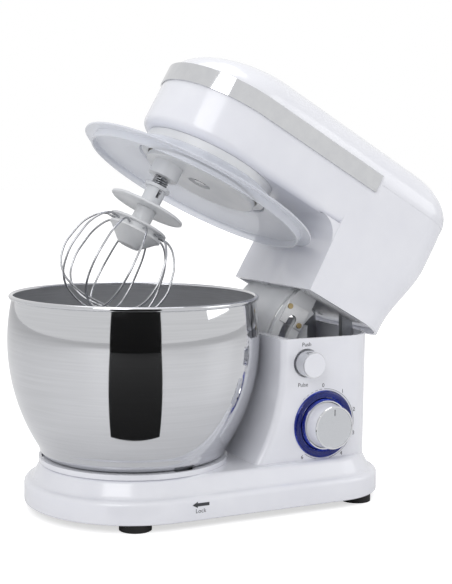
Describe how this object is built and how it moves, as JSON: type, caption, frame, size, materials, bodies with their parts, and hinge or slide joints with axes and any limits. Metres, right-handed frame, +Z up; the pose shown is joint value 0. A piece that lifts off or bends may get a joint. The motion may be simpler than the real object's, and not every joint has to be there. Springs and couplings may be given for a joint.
{
  "type": "tilt-head stand mixer",
  "caption": "Tilt-head stand mixer with its head raised: planetary whisk, clear splash guard, steel bowl that twist-locks, speed dial, head release button.",
  "frame": {"origin": "on the floor under the middle of the whole mixer's outline, head raised", "axes": "+X from the bowl towards the column, +Y away from the controls, +Z up; feet stand on Z = 0"},
  "size_m": [0.4206, 0.2274, 0.4029],
  "materials": {
    "white_shell": "gloss moulded",
    "white_satin": "satin moulded",
    "grey_plastic": "satin moulded",
    "black_plastic": "satin moulded",
    "nylon": "natural",
    "black_rubber": "matt",
    "polished_steel": "mirror polished",
    "bright_chrome": "bright plated",
    "plain_steel": "machined",
    "cast_alloy": "as cast",
    "iron_stack": "laminated",
    "bronze": "sintered",
    "light_blue": "translucent",
    "clear_plastic": "clear moulded",
    "board_green": "lacquered"
  },
  "bodies": {
    "stand": {"base_shell": "white_shell", "bowl_seat": "white_shell", "base_plate": "grey_plastic", "rubber_feet": "black_rubber", "base_screws": "plain_steel", "cord_gland": "black_plastic", "light_ring": "light_blue", "rotary_switch": "black_plastic", "control_board": "board_green", "hinge_bracket": "plain_steel", "hinge_pin": "plain_steel", "interlock_switch": "white_satin", "button_guide": "white_satin", "button_spring": "plain_steel"},
    "speed_dial": {"speed_knob": "white_shell", "dial_skirt": "bright_chrome", "knob_face": "white_satin"},
    "release_button": {"push_button": "bright_chrome", "button_face": "white_shell", "latch_pin": "plain_steel"},
    "mixing_bowl": {"bowl": "polished_steel", "bowl_foot": "plain_steel"},
    "head": {"head_upper_cover": "white_shell", "head_lower_housing": "white_shell", "chrome_trim": "bright_chrome", "neck_bottom_cover": "white_satin", "latch_sector": "white_satin", "latch_plate": "plain_steel", "latch_plate_screws": "plain_steel", "hinge_carrier": "cast_alloy", "hinge_bushes": "bronze", "cover_screws": "plain_steel", "motor_stator": "iron_stack", "motor_bracket": "black_plastic", "motor_bearings": "bronze", "carbon_brushes": "black_plastic", "drive_belt": "black_rubber", "shaft_bearings": "plain_steel", "gear_plate": "plain_steel", "ring_housing": "white_satin", "ring_gear": "nylon", "splash_guard": "clear_plastic"},
    "rotor": {"motor_rotor": "iron_stack", "motor_fan": "black_plastic", "motor_pulley": "cast_alloy"},
    "countershaft": {"jackshaft": "plain_steel", "large_pulley": "nylon", "jackshaft_pinion": "plain_steel"},
    "carrier": {"main_spindle": "plain_steel", "main_gear": "nylon", "planet_carrier": "white_satin", "carrier_screw": "plain_steel"},
    "tool_spindle": {"planet_pinion": "plain_steel", "tool_shaft": "plain_steel", "cross_pin": "plain_steel", "tool_spring": "plain_steel"},
    "whisk": {"whisk_collar": "white_satin", "splash_cap": "white_satin", "whisk_hub": "white_satin", "whisk_wires": "polished_steel"}
  },
  "joints": [
    {"name": "speed_turn", "type": "hinge", "parent": "stand", "child": "speed_dial", "pos_m": [0.0573, -0.075, 0.0736], "axis": [0, 1, 0], "range_deg": [-45, 216]},
    {"name": "button_press", "type": "slide", "parent": "stand", "child": "release_button", "axis": [0, 1, 0], "range_m": [0, 0.004], "stiffness_N_per_m": 300, "deforming": ["button_spring"]},
    {"name": "bowl_turn", "type": "hinge", "parent": "stand", "child": "mixing_bowl", "pos_m": [-0.0977, 0, 0.047], "axis": [0, 0, 1], "range_deg": [-20, 0]},
    {"name": "head_tilt", "type": "hinge", "parent": "stand", "child": "head", "pos_m": [0.1078, 0, 0.122], "axis": [0, 1, 0], "range_deg": [-29, 0]},
    {"name": "carrier_spin", "type": "hinge", "parent": "head", "child": "carrier", "pos_m": [-0.03412, 0, 0.28985], "axis": [0.4848, 0, 0.8746], "continuous": true},
    {"name": "countershaft_spin", "type": "hinge", "parent": "head", "child": "countershaft", "pos_m": [0.02634, 0, 0.29063], "axis": [0.4848, 0, 0.8746], "continuous": true},
    {"name": "rotor_spin", "type": "hinge", "parent": "head", "child": "rotor", "pos_m": [0.12474, 0, 0.23609], "axis": [0.4848, 0, 0.8746], "continuous": true},
    {"name": "tool_spin", "type": "hinge", "parent": "carrier", "child": "tool_spindle", "pos_m": [-0.06429, 0, 0.30657], "axis": [0.4848, 0, 0.8746], "continuous": true},
    {"name": "whisk_lift", "type": "slide", "parent": "tool_spindle", "child": "whisk", "axis": [0.4848, 0, 0.8746], "range_m": [0, 0.004], "stiffness_N_per_m": 600, "springref_m": -0.006, "deforming": ["tool_spring"]}
  ],
  "couplings": [
    {"joint": "countershaft_spin", "follows": "carrier_spin", "ratio": -5},
    {"joint": "rotor_spin", "follows": "carrier_spin", "ratio": -21.111},
    {"joint": "tool_spin", "follows": "carrier_spin", "ratio": -3.5556}
  ]
}
